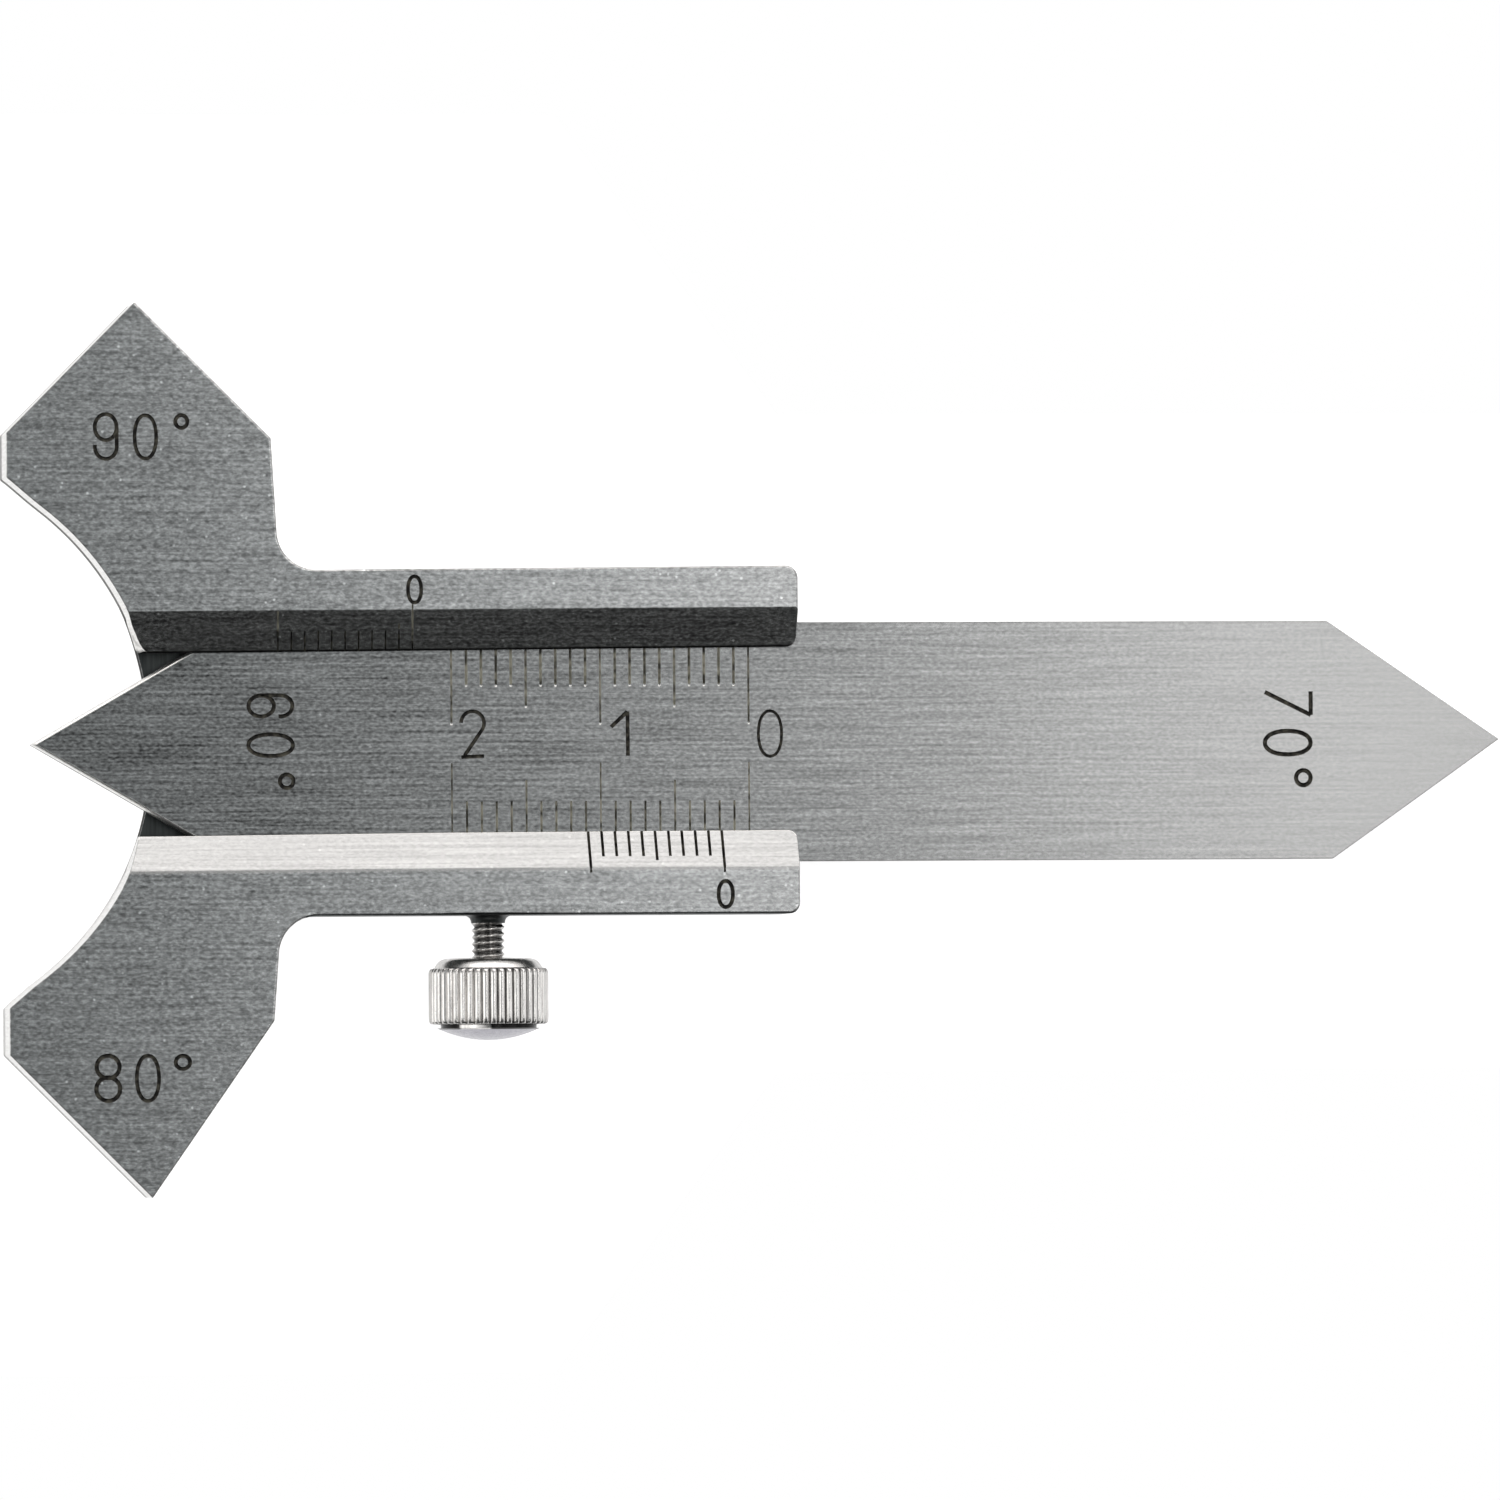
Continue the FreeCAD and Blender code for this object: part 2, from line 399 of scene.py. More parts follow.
def figure_cutters(figures, face_z, finish):
    """Cutters for figures that fill their boxes on a face; turned figures read downwards."""
    pen_share, sink_share = 1.13, 0.53
    cutters = []
    for number, (figure, low_x, low_y, high_x, high_y, half_width, reads_down) in enumerate(figures):
        width, height = high_x - low_x, high_y - low_y
        z = face_z + half_width * sink_share
        for stroke, (points, closed) in enumerate(figure_strokes(figure)):
            placed = []
            for across, up in points:
                if reads_down:
                    placed.append((low_x + up * width, high_y - across * height, z))
                else:
                    placed.append((low_x + across * width, low_y + up * height, z))
            name = f"figure{number}_{stroke}"
            cutters.append(stroke_tube(name, placed, closed, half_width * pen_share, finish))
    return cutters


# Where the engraving stands, in millimetres

FACE_Z, STEM_EDGE = 5.0, 11.5
# The back wall stands a hair under the slide, which rests on it
BACK_WALL, SLOT_TOP = 1.69, 3.25
SLIDE_FACE = slide_high.z
# Figures as (figure, low x, low y, high x, high y, half width of the stroke, reads downwards)
BODY_FIGURES = (
    ("9", -26.36, 18.87, -24.9, 21.84, 0.135, False),
    ("0", -23.71, 18.89, -22.27, 21.77, 0.13, False),
    ("o", -20.99, 20.92, -20.19, 21.77, 0.14, False),
    ("8", -26.53, -23.66, -24.94, -20.67, 0.15, False),
    ("0", -23.83, -23.68, -22.35, -20.68, 0.135, False),
    ("o", -21.24, -21.58, -20.28, -20.7, 0.14, False),
    ("0", -5.53, 9.3, -4.64, 11.04, 0.13, False),
    ("0", 15.18, -11.05, 16.14, -9.31, 0.14, False),
)
SLIDE_FIGURES = (
    ("2", -1.86, -0.94, -0.28, 2.11, 0.13, False),
    ("1", 8.27, -0.9, 9.43, 2.06, 0.135, False),
    ("0", 18.2, -0.97, 19.77, 2.07, 0.105, False),
    ("6", -16.04, 1.81, -13.1, 3.21, 0.14, True),
    ("0", -16.06, -0.82, -13.08, 0.62, 0.14, True),
    ("o", -13.97, -2.95, -13.06, -2.06, 0.145, True),
    ("7", 52.6, 1.67, 55.73, 3.25, 0.15, True),
    ("0", 52.58, -0.98, 55.7, 0.6, 0.155, True),
    ("o", 54.69, -3.05, 55.68, -2.05, 0.155, True),
)


# Gauge body

ARC_CENTRE_Y, ARC_RADIUS, ARC_SETBACK = 0.1, 19.6, 9.4
# Where the arc meets the upper and the lower contact face
ARC_ENDS = {1: 17.65, -1: 17.5}


def arc_edge(y, z):
    """
    x of the arc that clears the weld: a circle, a little flatter across the slot and leaning out to the face,
    and straight for its last stretch before each contact face.
    """
    across_slot, straight_from, straight_slope = 8.8, 15.9, 1.17
    straight = straight_slope * max(0.0, abs(y) - straight_from)
    y = max(-straight_from, min(straight_from, y))
    flat = (0.24 + 0.02 * y) * max(0.0, 1 - (y / across_slot) ** 2)
    overhang = 0.05 if y > 0 else -0.05 + 0.12 * max(0.0, 1 - ((y + 7) / 3) ** 2)
    # The lips' lower edges stand out over the slot's mouth
    by_height = max(0.0, 1 - abs(z - SLOT_TOP) / (SLOT_TOP - BACK_WALL))
    mouth = 0.22 * by_height * max(0.0, min(1.0, 9.1 - abs(y)))
    circle = math.sqrt(ARC_RADIUS ** 2 - (y - ARC_CENTRE_Y) ** 2) - ARC_SETBACK
    return body_low.x + max(0.1, circle - straight - flat - z / FACE_Z * overhang - mouth)


def body_outline(z, stem_half):
    """Outline of the stem, both heads and the arc at this height."""
    contact_x, end_x = body_low.x, body_high.x
    corner_x, contact_high, shoulder_x = contact_x - 20.6, 20.6, contact_x + 17.75
    edge_break, neck_lean, neck_radius, upper_radius, lower_radius = 0.1, 0.5, 2.6, 0.85, 0.7
    heads = []
    for side, apex_angle, reach in ((1, 90, 8.7), (-1, 80, 9.55)):
        apex = Vector((contact_x + reach, contact_x + reach - corner_x))
        shoulder_y = apex.y - (shoulder_x - apex.x) * math.tan(math.radians(135 - apex_angle))
        heads.append([
            (shoulder_x + neck_lean, side * stem_half),
            (shoulder_x, side * shoulder_y),
            (apex.x, side * apex.y),
            (contact_x + edge_break, side * contact_high),
            (contact_x + edge_break, side * ARC_ENDS[side]),
        ])
    upper, lower = heads
    # The stem widens a little to its upper right end
    upper_end, lower_end = (end_x, stem_half + 0.24), (end_x, -stem_half)
    outline = round_corner((end_x, 0), upper_end, upper[0], upper_radius, 8)
    outline += round_corner(upper_end, upper[0], upper[1], neck_radius, 14)
    outline += upper[1:]
    steps = 60
    first, last = (math.asin((side * ARC_ENDS[side] - ARC_CENTRE_Y) / ARC_RADIUS) for side in (1, -1))
    for step in range(1, steps):
        y = ARC_CENTRE_Y + ARC_RADIUS * math.sin(first + (last - first) * step / steps)
        outline.append((arc_edge(y, z), y))
    outline += lower[:0:-1]
    outline += round_corner(lower[1], lower[0], lower_end, neck_radius, 14)
    outline += round_corner(lower[0], lower_end, (end_x, 0), lower_radius, 8)
    return outline


# The lips run a little aslant to the slide. At three places along the slot, how far each lip's edge and its
# bevel's outer border stand off their drawn places: (x, (upper edge, border), (lower edge, border))
LIP_DRIFT = (
    (-26.0, (-0.15, 0.0), (-0.02, 0.11)),
    (-2.0, (0.03, 0.12), (0.185, 0.25)),
    (22.0, (0.21, 0.23), (0.26, 0.24)),
)
BEVEL_SLOPE = 0.569


def lip_at(side, x, lips):
    """
    A lip at x: y of its edge, y of its bevel's outer border and z of its edge. lips gives half the opening
    between them and the width of a bevel.
    """
    lip_half, bevel_width = lips
    rows = LIP_DRIFT[:2] if x < LIP_DRIFT[1][0] else LIP_DRIFT[1:]
    share = (x - rows[0][0]) / (rows[1][0] - rows[0][0])
    near, far = (row[1 if side > 0 else 2] for row in rows)
    edge, border = (a + (b - a) * share for a, b in zip(near, far))
    edge += side * lip_half
    border += side * (lip_half + bevel_width)
    return edge, border, FACE_Z - BEVEL_SLOPE * abs(border - edge)


def slot_profile(x, lips):
    """The T-slot and the opening between its bevelled lips at x, as (x, y, z) points."""
    slot_half, beyond = 8.05, 1.4
    points = []
    for side in (1, -1):
        edge, border, lip_top = lip_at(side, x, lips)
        half = [
            (x, side * slot_half, BACK_WALL),
            (x, side * slot_half, SLOT_TOP),
            (x, edge, SLOT_TOP),
            (x, edge, lip_top),
            (x, edge + (border - edge) * beyond, lip_top + (FACE_Z - lip_top) * beyond),
        ]
        points += half if side > 0 else half[::-1]
    return points


def slot_cutter(lips):
    places = (body_low.x - 2, LIP_DRIFT[1][0], body_high.x + 2)
    return lofted("slot", [slot_profile(x, lips) for x in places])


def corner_ring(before, corner, after, outside, z):
    """One level of a cutter that rounds a corner along a curve from before to after."""
    before, corner, after = Vector(before), Vector(corner), Vector(after)
    steps = 8
    points = []
    for step in range(steps + 1):
        share = step / steps
        on_curve = before * (1 - share) ** 2 + corner * (2 * share * (1 - share)) + after * share ** 2
        points.append((on_curve.x, on_curve.y, z))
    return points + [(*outside, z)]


# The sloping corner of the upper lip at the arc: (height, reach along the arc, reach along the lip)
ARC_CORNER = ((3.0, 0.4, 0.3), (SLOT_TOP, 0.4, 0.3), (3.5, 2.2, 1.0), (4.2, 2.7, 1.5), (8.0, 2.9, 1.8))


def lip_corner_cutters(lips):
    """Both lips are rounded at the stem's end. Where the upper one meets the arc its corner slopes."""
    end_x, cut_back, clear = body_high.x, 0.7, 0.3
    cutters = []
    for side in (1, -1):
        edge = lip_at(side, end_x, lips)[0]
        before, after = (end_x, edge + side * cut_back), (end_x - cut_back, edge)
        outside = (end_x + clear, edge - side * clear)
        rings = [corner_ring(before, (end_x, edge), after, outside, z) for z in (3.0, 8.0)]
        cutters.append(lofted("end_corner", rings))
    rings = []
    for z, along_arc, along_lip in ARC_CORNER:
        level = min(z, FACE_Z)
        edge = lip_at(1, arc_edge(lips[0], level), lips)[0]
        x = arc_edge(edge, level)
        before = (arc_edge(edge + along_arc, level) - 0.02, edge + along_arc)
        rings.append(corner_ring(before, (x, edge), (x + along_lip, edge), (x - 1.5, edge - 0.4), z))
    return cutters + [lofted("arc_corner", rings)]


def vernier_cutters(side, zero_x, lips, line_width, fill, bare):
    """Ten divisions of 0.9 mm on a bevel. The upper ones are bare where the fill has gone."""
    divisions, middle, pitch, lean = 10, 5, 0.9, (-0.15 if side > 0 else 0.0)
    # Where the bare stretch of an upper line starts, as a share of the bevel's width
    worn_from = {0: 0.25, 1: 0.55, 10: 0.4}
    cutters = []
    for index in range(divisions + 1):
        x = zero_x - index * pitch
        edge, border, lip_top = lip_at(side, x, lips)
        slope = Vector((lean, border - edge, FACE_Z - lip_top))
        up = Vector((0, lip_top - FACE_Z, border - edge)).normalized() * side
        foot = Vector((x, edge, lip_top))
        top = foot + slope
        reach = 1.0 if index % divisions == 0 else 0.78 if index == middle else 0.67
        start, end = foot - slope * 0.2, foot + slope * reach
        if side < 0:
            lines = [("vernier", start, end, up, 0.95, 0.1, fill)]
            if index % divisions == 0:
                past_top = top + Vector((0, side * 0.25, 0))
                lines.append(("vernier_top", top, past_top, OUT_OF_FACE, 0.8, 0.08, fill))
        else:
            filled_to = foot + slope * (0.22 if index == 0 else 0.5)
            lines = [("vernier", start, filled_to, up, 0.5, 0.07, fill)]
            if index in worn_from:
                bare_from = foot + slope * worn_from[index]
                lines.append(("vernier_worn", bare_from, end, up, 0.55, 0.06, bare))
            if index == 0:
                past_top = top + Vector((0, 0.42, 0))
                lines.append(("vernier_top", top, past_top, OUT_OF_FACE, 0.55, 0.06, bare))
        for name, first, last, facing, width, depth, finish in lines:
            cutters.append(groove_bar(name, first, last, facing, line_width * width, depth, finish))
    return cutters


# How far from the slide's axis the lips' edges and the slot's walls lie at most
LIP_REACH, SLOT_REACH = 6.6, 8.2


def body_edge_radius(edge):
    """How far each edge of the body is rounded: most on the outside of the face, least at the slot."""
    sharp, slot, wall, lip, back, outside, lower_border = 0.0, 0.05, 0.07, 0.08, 0.1, 0.17, 0.2
    ends = [vertex.co for vertex in edge.verts]
    lowest, highest = sorted(end.z for end in ends)
    reach = min(abs(end.y) for end in ends)
    middle = (ends[0] + ends[1]) / 2
    # The upper lip's sloping corner stays sharp
    at_arc = middle.x < -21.5 and 5.8 < middle.y < 9.4
    if at_arc and BACK_WALL + 0.05 < middle.z < FACE_Z - 0.02:
        return sharp
    if lowest > FACE_Z - 0.01:
        on_border = all(8.4 < abs(end.y) < 9.1 for end in ends) and abs(ends[0].x - ends[1].x) > 5
        if on_border and middle.y < 0:
            return lower_border
        meets_left_wall = any(face.normal.x < -0.3 for face in edge.link_faces)
        return wall if on_border or meets_left_wall else outside
    if highest < 0.01:
        return back
    if reach < LIP_REACH and lowest > SLOT_TOP + 0.05 and middle.y > 0:
        return lip
    return slot if reach < SLOT_REACH else wall


def screw_collar():
    """The short flare where the clamp screw enters the stem; its dark slot finish is painted shade round the
    screw's root.
    """
    profile = ((0.0, 1.2), (0.0, 1.55), (0.07, 1.36), (0.18, 1.23), (0.32, 1.16), (0.5, 1.13), (0.5, 1.12),
               (0.0, 1.12))
    rings = [(-STEM_EDGE - drop, radius, 0) for drop, radius in profile]
    return turned("screw_collar", rings, 40, None, closed=True)


# The body's finishes, in the order of its materials
GROUND, WALL, SLOT, UPPER_BEVEL, LOWER_BEVEL = range(5)


def finish_faces(mesh):
    """Gives each face of the body its finish."""
    for polygon in mesh.polygons:
        x, y, z = polygon.center
        normal = polygon.normal
        outside_wall = normal.x < -0.3 and x < -20
        inside = not outside_wall
        in_slot = inside and abs(y) < SLOT_REACH and 1.6 < z < 3.3
        on_lip_edge = inside and abs(y) < LIP_REACH and z < 3.75 and 0.01 < normal.z < 0.86
        on_lip_wall = inside and abs(y) < 6.5 and z < 3.6 and abs(normal.z) <= 0.01
        # The stem's lower wall beside the clamp screw is dark only as painted shade
        shaded_clamp_side = -11.6 < y < -11.3 and normal.y < -0.5
        on_bevel = inside and 6 < abs(y) < 9.2 and 0.5 < normal.z < 0.97 and z > SLOT_TOP
        above_mouth = outside_wall and normal.z < 0.9 and z > SLOT_TOP and 0 < y < 9
        finish = GROUND
        # Faces in the slot, on the lips' inner walls and on the stem's lower wall take the dark slot finish:
        # painted shade
        if in_slot or on_lip_wall or shaded_clamp_side:
            finish = SLOT
        elif on_lip_edge and y > 0:
            finish = UPPER_BEVEL
        elif on_bevel and not on_lip_edge:
            finish = UPPER_BEVEL if y > 0 else LOWER_BEVEL
        elif abs(normal.z) < 0.35 or on_lip_edge or above_mouth:
            finish = WALL
        polygon.material_index = finish


def joined(name, meshes):
    """One mesh out of several, each with its own materials."""
    holders = [new_object(mesh.name, mesh) for mesh in meshes]
    with bpy.context.temp_override(active_object=holders[0], selected_editable_objects=holders):
        bpy.ops.object.join()
    made = holders[0].data
    bpy.data.objects.remove(holders[0])
    made.name = name
    return made


# The smallest angle in degrees that stays sharp on ground pieces, and on the screw
GROUND_SHARP, SCREW_SHARP = 36, 40


class WELDGAUGE_OT_body(bpy.types.Operator):
    """Build the gauge body with its heads, bevelled lips and vernier scales"""

    bl_idname = "weldgauge.body"
    bl_label = "Gauge Body"

    def execute(self, context):
        sizes = context.scene.weld_gauge_body
        lips = (sizes.lip_opening / 2 / MM, sizes.bevel_width / MM)
        stem_half, line_width = sizes.stem_width / 2 / MM, sizes.line_width / MM
        colour = sizes.steel
        # Painted shade at the foot of the arc's walls: darkest inside the slot's mouth, less on the 90 degree
        # head, least on the 80 degree head
        foot_shade = ((0.32, 0.9), (0.35, 0.03), (0.66, 0.01), (0.69, 0.33), (0.84, 0.33), (0.86, 0.5))
        wall = material("fine_milled_edge", milled_edge, (0.3, 0.6, 1.72, 1.78), foot_shade)
        # The slot's dark finish is painted shade
        slot, fill = material("oiled_milled_slot", slot_floor), material(*BLACK_ENAMEL)
        levels = (0, BACK_WALL, SLOT_TOP, FACE_Z)
        mesh = lofted("gauge_body", [[(x, y, z) for x, y in body_outline(z, stem_half)] for z in levels])
        mesh = carve(mesh, [slot_cutter(lips)] + lip_corner_cutters(lips))
        mesh = soften_edges(mesh, body_edge_radius)
        dress(
            mesh,
            material("ground_tool_steel", ground_steel, colour, (1.9, 0.4), 0.5, oiled=True),
            wall,
            slot,
            material("ground_upper_bevel", ground_steel, colour, (2.8, 2.8), 0.5, black_below=lips[0] + 0.12),
            material("ground_lower_bevel", ground_steel, colour, (0.4, 0.4), 1.3),
        )
        finish_faces(mesh)
        cutters = vernier_cutters(1, -5.08, lips, line_width, fill, material(*WORN_ENAMEL))
        cutters += vernier_cutters(-1, 15.62, lips, line_width, fill, wall)
        mesh = carve(mesh, cutters + figure_cutters(BODY_FIGURES, FACE_Z, fill))
        # The collar takes the dark slot finish, painted shade
        collar = screw_collar()
        dress(collar, slot)
        mesh = joined("gauge_body", [mesh, collar])
        lay_grain(mesh)
        place(shade(mesh, GROUND_SHARP), "gauge_body_ground", "body", "gauge_body")
        return {"FINISHED"}


# Measuring slide


def slide_outline():
    """A 60 degree point on the left and a 70 degree point on the right, whose upper shoulder stands off."""
    half = (slide_high.y - slide_low.y) / 2
    left_x = slide_low.x + half / math.tan(math.radians(30))
    right_x = slide_high.x - half / math.tan(math.radians(35))
    upper_right_x = right_x - 0.3
    lower = [(slide_low.x, 0), (left_x, -half), (right_x, -half)]
    return lower + [(slide_high.x, 0), (upper_right_x, half), (left_x, half)]


def scale_cutters(line_width, fill, bare):
    """Millimetre lines along both lips; the upper ones have a bare dimple where the graver stopped."""
    lines, zero_x, lip_y, under_lip, ball = 21, 17.55, 6.15, 6.5, 0.1
    cutters = []
    for index in range(lines):
        x = zero_x - index
        length_in, width, depth = 2.25, line_width, 0.08
        if index % 10 == 0:
            length_in, width, depth = 4.8, line_width * 0.75, 0.05
        elif index % 5 == 0:
            length_in, width, depth = 3.65, line_width * 0.9, 0.06
        for side in (1, -1):
            outer = (x, side * under_lip, SLIDE_FACE)
            inner = (x, side * (lip_y - length_in), SLIDE_FACE)
            shown = width if side > 0 else width * 0.8
            cutters.append(groove_bar("line", outer, inner, OUT_OF_FACE, shown, depth, fill))
            if side > 0:
                centre = (x, lip_y - length_in - 0.09, SLIDE_FACE + 0.05)
                cutters.append(dimple("dimple", centre, ball, bare))
    return cutters


def slide_edge_radius(edge):
    """The left point is dressed to a bright slope; the other edges are only broken."""
    first, last = (vertex.co for vertex in edge.verts)
    on_front = min(first.z, last.z) > SLIDE_FACE - 0.01
    run, middle = first - last, (first + last) / 2
    on_left_point = middle.x < slide_low.x + 10 and abs(run.y) > 1 and abs(run.x) > 1
    return 0.2 if on_front and on_left_point else 0.05


class WELDGAUGE_OT_slide(bpy.types.Operator):
    """Build the measuring slide with its two points and the main scale"""

    bl_idname = "weldgauge.slide"
    bl_label = "Measuring Slide"

    def execute(self, context):
        sizes = context.scene.weld_gauge_slide
        steel = material("ground_strip_steel", ground_steel, sizes.steel, (2.2, 0.2), 0.9, nicked_by=0.22)
        # The dressed point's walls get a band of painted shade low down, dark on the lower flank and faint on
        # the upper
        edge = material("dressed_point_edge", milled_edge, (1.6, 1.7, 2.3, 2.4), ((0.49, 0.3), (0.505, 0.85)))
        levels = (slide_low.z, slide_high.z)
        mesh = lofted("measuring_slide", [[(x, y, z) for x, y in slide_outline()] for z in levels])
        mesh = soften_edges(mesh, slide_edge_radius)
        dress(mesh, steel, edge)
        for polygon in mesh.polygons:
            off_flat = -0.4 < polygon.normal.z < 0.98
            on_left_point = polygon.center.x < slide_low.x + 14
            polygon.material_index = 1 if off_flat and (on_left_point or polygon.normal.z < 0.35) else 0
        cutters = scale_cutters(sizes.line_width / MM, material(*WORN_ENAMEL), edge)
        mesh = carve(mesh, cutters + figure_cutters(SLIDE_FIGURES, SLIDE_FACE, material(*BLACK_ENAMEL)))
        lay_grain(mesh)
        place(shade(mesh, GROUND_SHARP), "measuring_slide_ground", "slide", "measuring_slide")
        return {"FINISHED"}


# Clamp screw


def turned(name, rings, around, groove_at, closed=False):
    """A form turned along Y from rings of (y, radius, share of the pattern); groove_at is its depth."""
    skin = []
    for y, radius, share in rings:
        ring = []
        for step in range(around):
            angle = 2 * math.pi * step / around
            reach = radius - share * groove_at(angle, y) if share else radius
            ring.append((reach * math.sin(angle), y, SCREW_Z + reach * math.cos(angle)))
        skin.append(ring)
    return lofted(name, skin, closed)


def knurl_groove(teeth, depth):
    """Depth below the ridge tops at an angle: broad rounded ridges and narrow grooves."""
    def below(angle, y):
        phase = ((angle - math.radians(2)) * teeth / (2 * math.pi)) % 1.0
        return depth * abs(2 * phase - 1) ** 2.4
    return below


# Rings of the screw's head as (y from its start, radius, share of the knurl): the cone, then the knurl,
# which starts and stops short of the plain rims, and the undercut behind the dome
HEAD_START = -14.3
HEAD_CONE = (
    (0.02, 0.95, 0), (0, 1.3, 0), (-0.03, 2.2, 0), (-0.06, 2.9, 0), (-0.15, 3.17, 0), (-0.3, 3.36, 0),
    (-0.48, 3.5, 0), (-0.68, 3.62, 0), (-0.7, 3.68, 0), (-0.74, 3.86, 0.5), (-0.82, 3.94, 0.95),
    (-1.0, 4.0, 1.0),
)
HEAD_KNURL = tuple((-1.15 - step * 0.4, 4.0, 1.0) for step in range(8))
HEAD_UNDERCUT = (
    (-4.25, 3.98, 1.0), (-4.38, 3.92, 0.9), (-4.42, 3.8, 0.2), (-4.44, 3.72, 0), (-4.46, 3.3, 0),
    (-4.48, 3.2, 0), (-4.8, 3.2, 0),
)


def head_rings(end_y):
    """Rings of the knurled head from its cone to its domed end."""
    rings = [(HEAD_START + y, radius, share) for y, radius, share in HEAD_CONE + HEAD_KNURL + HEAD_UNDERCUT]
    rim, depth = 3.45, 0.8
    ball = (rim ** 2 + depth ** 2) / (2 * depth)
    for share in (1.0, 0.92, 0.8, 0.66, 0.5, 0.34, 0.18, 0.05):
        radius = rim * share
        rings.append((end_y + ball - math.sqrt(ball ** 2 - radius ** 2), radius, 0))
    return rings


def thread_rings(pitch):
    """Rings of the shank from the head to the tip, with the hole that the thrust pad's spigot turns in."""
    start, tip, crest, chamfer, spigot = -14.28, -8.92, 1.1, 0.2, 0.45
    count = int((tip - start) / pitch * 12)
    rings = []
    for step in range(count + 1):
        y = start + (tip - start) * step / count
        ease = min(1.0, (tip - y) / (0.5 * pitch))
        rings.append((y, crest - chamfer * (1 - ease), ease))
    return rings + [(tip, spigot, 0), (tip - 0.95, spigot, 0), (tip - 0.97, 0.05, 0)]


def thread_groove(pitch, depth):
    """Depth below the crest: a sixty degree thread with narrow flat crests and rounded roots."""
    flat_crest = 0.15

    def below(angle, y):
        phase = (y / pitch - angle / (2 * math.pi)) % 1.0
        flank = max(0.0, abs(2 * phase - 1) - flat_crest) / (1 - flat_crest)
        return depth * (1 - (1 - flank) ** 1.5)
    return below


class WELDGAUGE_OT_clamp_screw(bpy.types.Operator):
    """Build the clamp screw with its thread, straight knurl and domed end"""

    bl_idname = "weldgauge.clamp_screw"
    bl_label = "Clamp Screw"

    def execute(self, context):
        sizes = context.scene.weld_gauge_screw
        pitch, depth = sizes.thread_pitch / MM, sizes.thread_depth / MM
        knurl = knurl_groove(sizes.knurl_teeth, sizes.knurl_depth / MM)
        head = turned("head", head_rings(screw_low.y), sizes.knurl_teeth * 12, knurl)
        shank = turned("shank", thread_rings(pitch), 64, thread_groove(pitch, depth))
        mesh = joined("clamp_screw", [head, shank])
        dress(mesh, material("bright_nickel_plating", nickel_plating, sizes.plating))
        place(shade(mesh, SCREW_SHARP), "clamp_screw_plated", "screw", "clamp_screw")
        return {"FINISHED"}


class WELDGAUGE_OT_thrust_pad(bpy.types.Operator):
    """Give the thrust pad its turned brass finish"""

    bl_idname = "weldgauge.thrust_pad"
    bl_label = "Thrust Pad"

    def execute(self, context):
        pad = frame["nodes"]["thrust_pad"]
        pad.data.materials[0] = material("turned_brass", turned_brass)
        return {"FINISHED"}


# Materials


def add_node(tree, kind, inputs, **options):
    """Adds a node; inputs are values or other nodes' outputs, and options are the node's own settings."""
    made = tree.nodes.new(kind)
    for option, value in options.items():
        setattr(made, option, value)
    for socket, value in inputs.items():
        if isinstance(value, bpy.types.NodeSocket):
            tree.links.new(value, made.inputs[socket])
        else:
            made.inputs[socket].default_value = value
    return made


def maths(tree, operation, *values):
    """One step of arithmetic on numbers."""
    return add_node(tree, "ShaderNodeMath", dict(enumerate(values)), operation=operation).outputs[0]


def vector_maths(tree, operation, *values, result="Vector"):
    """One step of arithmetic on vectors."""
    made = add_node(tree, "ShaderNodeVectorMath", dict(enumerate(values)), operation=operation)
    return made.outputs[result]


def ranged(tree, value, low, high, to_low, to_high):
    """A value carried from the range low..high to another range, and held at that range's ends."""
    inputs = {"Value": value, 1: low, 2: high, 3: to_low, 4: to_high}
    return add_node(tree, "ShaderNodeMapRange", inputs).outputs[0]


def band(tree, value, rows, inside=1.0):
    """A mask over four rows in mm: it rises between the first two and falls off between the last two."""
    rise_from, rise_to, fall_from, fall_to = (row * MM for row in rows)
    risen = ranged(tree, value, rise_from, rise_to, 0.0, inside)
    return ranged(tree, value, fall_from, fall_to, risen, 0.0)


def noise(tree, at, sizes, detail):
    """Soft noise whose marks have these sizes along X, Y and Z, in millimetres."""
    scaled = vector_maths(tree, "MULTIPLY", at, tuple(1 / (size * MM) for size in sizes))
    inputs = {"Vector": scaled, "Scale": 1.0, "Detail": detail}
    return add_node(tree, "ShaderNodeTexNoise", inputs).outputs[0]


def ramp(tree, value, *stops):
    """The colour that value has on a ramp of at least two stops, as (position, colour)."""
    made = add_node(tree, "ShaderNodeValToRGB", {"Fac": value})
    elements = made.color_ramp.elements
    while len(elements) < len(stops):
        elements.new(1.0)
    for element, (position, colour) in zip(elements, stops):
        element.position = position
        element.color = colour
    return made.outputs["Color"]


def mixed(tree, share, first, second, blend="MIX"):
    """The second colour laid over the first, or multiplied with it where blend says so."""
    inputs = {"Factor": share, 6: first, 7: second}
    return add_node(tree, "ShaderNodeMix", inputs, data_type="RGBA", blend_type=blend).outputs[2]


def mixed_shader(tree, share, first, second):
    return add_node(tree, "ShaderNodeMixShader", {0: share, 1: first, 2: second}).outputs[0]


def principled(tree, colour, metallic, roughness, others=None):
    inputs = {"Base Color": colour, "Metallic": metallic, "Roughness": roughness, **(others or {})}
    return add_node(tree, "ShaderNodeBsdfPrincipled", inputs).outputs[0]


def split(tree, at):
    """x, y and z of a place."""
    return add_node(tree, "ShaderNodeSeparateXYZ", {0: at}).outputs


def material(name, paint, *choices, **options):
    """The material of this name. On its first use, paint makes its shader from the place on the piece."""
    made = bpy.data.materials.get(name)
    if made is None:
        made = bpy.data.materials.new(name)
        made.use_nodes = True
        tree = made.node_tree
        tree.nodes.clear()
        at = add_node(tree, "ShaderNodeTexCoord", {}).outputs["Object"]
        add_node(tree, "ShaderNodeOutputMaterial", {0: paint(tree, at, *choices, **options)})
    return made


